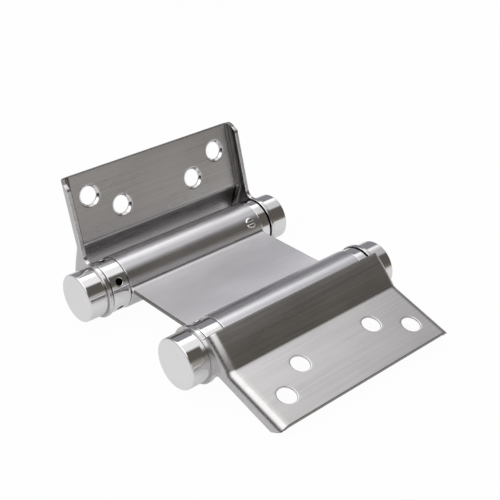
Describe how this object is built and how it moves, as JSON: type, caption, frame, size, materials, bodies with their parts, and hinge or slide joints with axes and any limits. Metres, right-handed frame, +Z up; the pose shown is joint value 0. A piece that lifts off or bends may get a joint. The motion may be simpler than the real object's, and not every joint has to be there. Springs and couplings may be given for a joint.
{
  "type": "double action spring hinge",
  "caption": "Sheet steel spring hinge with a leaf on each side of a plate rolled into barrels, so a cafe door swings both ways and closes by itself.",
  "frame": {"origin": "on the table, under the middle of the bounding box", "axes": "+X across the hinge from barrel A to barrel B and leaf B, +Y along the pintles from the adjusting collars to the fixed collars, +Z up from the table that the opened hinge lies on"},
  "size_m": [0.1092, 0.0902, 0.0468],
  "materials": {
    "satin_sheet": "pressed stainless sheet, brushed along the barrels",
    "polished_steel": "turned stainless, polished bright, with satin end faces on the caps",
    "ground_steel": "ground steel pins, washers and screws",
    "spring_steel": "drawn square spring wire"
  },
  "bodies": {
    "centre": {"centre_plate": "satin_sheet", "fixed_collar_a": "polished_steel", "collar_screw_a": "ground_steel", "spring_a": "spring_steel", "fixed_collar_b": "polished_steel", "collar_screw_b": "ground_steel", "spring_b": "spring_steel"},
    "leaf_a": {"leaf_a": "satin_sheet", "pintle_a": "ground_steel", "front_cap_a": "polished_steel", "back_cap_a": "polished_steel", "front_washer_a": "ground_steel", "back_washer_a": "ground_steel"},
    "leaf_b": {"leaf_b": "satin_sheet", "pintle_b": "ground_steel", "front_cap_b": "polished_steel", "back_cap_b": "polished_steel", "front_washer_b": "ground_steel", "back_washer_b": "ground_steel"},
    "adjusting_collar_a": {"adjusting_collar_a": "polished_steel"},
    "adjusting_collar_b": {"adjusting_collar_b": "polished_steel"}
  },
  "joints": [
    {"name": "leaf_a_swing", "type": "hinge", "parent": "centre", "child": "leaf_a", "pos_m": [-0.03865, 0, 0.0097], "axis": [0, 1, 0], "range_deg": [-74.8, 105.2]},
    {"name": "leaf_b_swing", "type": "hinge", "parent": "centre", "child": "leaf_b", "pos_m": [0.01505, 0, 0.0097], "axis": [0, 1, 0], "range_deg": [-16.87, 163.13]},
    {"name": "adjusting_collar_a_wind", "type": "hinge", "parent": "centre", "child": "adjusting_collar_a", "pos_m": [-0.03865, 0, 0.0097], "axis": [0, 1, 0], "range_deg": [-216, 0], "stiffness_Nm_per_rad": 0.547, "deforming": ["spring_a"]},
    {"name": "adjusting_collar_b_wind", "type": "hinge", "parent": "centre", "child": "adjusting_collar_b", "pos_m": [0.01505, 0, 0.0097], "axis": [0, 1, 0], "range_deg": [-216, 0], "stiffness_Nm_per_rad": 0.547, "deforming": ["spring_b"]}
  ]
}
